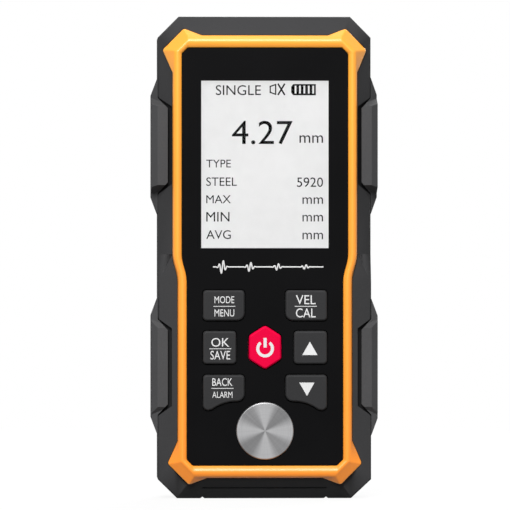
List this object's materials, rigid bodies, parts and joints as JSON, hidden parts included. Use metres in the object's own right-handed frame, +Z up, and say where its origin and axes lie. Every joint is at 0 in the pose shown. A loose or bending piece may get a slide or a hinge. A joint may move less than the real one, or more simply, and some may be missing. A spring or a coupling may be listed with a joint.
{
  "type": "ultrasonic thickness gauge",
  "caption": "Handheld ultrasonic thickness gauge: faceted case, amber frame, display, rubber keys, calibration disc, probe sockets and hinged battery door.",
  "frame": {"origin": "middle of the bottom end, on the surface that it stands on", "axes": "+Z up along its length, -Y out of the display, +X to the right as seen from the front"},
  "size_m": [0.061, 0.03, 0.13],
  "materials": {
    "housing": "fine moulded texture",
    "grip": "matt soft-touch",
    "frame": "satin moulded",
    "panel": "satin black",
    "window": "clear",
    "display": "lit pale grey",
    "backlight": "white moulded",
    "board": "solder-masked",
    "seal": "matt",
    "keys": "silk matt",
    "power": "silk matt",
    "disc": "turned face",
    "plated": "bright plated",
    "buzzer": "moulded",
    "insulator": "smooth",
    "contact": "bright",
    "lead": "smooth",
    "cell": "gloss sleeve"
  },
  "bodies": {
    "case": {"front_housing": "housing", "rear_housing": "housing", "upper_left_grip": "grip", "upper_right_grip": "grip", "lower_left_grip": "grip", "lower_right_grip": "grip", "bezel_frame": "frame", "face_panel": "panel", "display_window": "window", "display_glass": "display", "display_backlight": "backlight", "main_board": "board", "keypad_mat": "seal", "case_gasket": "seal", "calibration_disc": "disc", "case_screws": "plated", "board_screws": "plated", "dome_switches": "plated", "probe_socket_left": "plated", "probe_socket_right": "plated", "socket_nuts": "plated", "spring_contacts": "plated", "plate_contacts": "plated", "buzzer": "buzzer", "socket_insulators": "insulator", "socket_contacts": "contact", "probe_leads": "lead", "battery_left": "cell", "battery_middle": "cell", "battery_right": "cell"},
    "power_key": {"power_key": "power"},
    "mode_key": {"mode_key": "keys"},
    "velocity_key": {"velocity_key": "keys"},
    "confirm_key": {"confirm_key": "keys"},
    "up_key": {"up_key": "keys"},
    "return_key": {"return_key": "keys"},
    "down_key": {"down_key": "keys"},
    "battery_door": {"battery_door": "housing"}
  },
  "joints": [
    {"name": "power_key_press", "type": "slide", "parent": "case", "child": "power_key", "axis": [0, 1, 0], "range_m": [0, 0.0007], "stiffness_N_per_m": 400},
    {"name": "mode_key_press", "type": "slide", "parent": "case", "child": "mode_key", "axis": [0, 1, 0], "range_m": [0, 0.0007], "stiffness_N_per_m": 400},
    {"name": "velocity_key_press", "type": "slide", "parent": "case", "child": "velocity_key", "axis": [0, 1, 0], "range_m": [0, 0.0007], "stiffness_N_per_m": 400},
    {"name": "confirm_key_press", "type": "slide", "parent": "case", "child": "confirm_key", "axis": [0, 1, 0], "range_m": [0, 0.0007], "stiffness_N_per_m": 400},
    {"name": "up_key_press", "type": "slide", "parent": "case", "child": "up_key", "axis": [0, 1, 0], "range_m": [0, 0.0007], "stiffness_N_per_m": 400},
    {"name": "return_key_press", "type": "slide", "parent": "case", "child": "return_key", "axis": [0, 1, 0], "range_m": [0, 0.0007], "stiffness_N_per_m": 400},
    {"name": "down_key_press", "type": "slide", "parent": "case", "child": "down_key", "axis": [0, 1, 0], "range_m": [0, 0.0007], "stiffness_N_per_m": 400},
    {"name": "battery_door_hinge", "type": "hinge", "parent": "case", "child": "battery_door", "pos_m": [0, 0.0126, 0.008], "axis": [-1, 0, 0], "range_deg": [0, 90]}
  ]
}
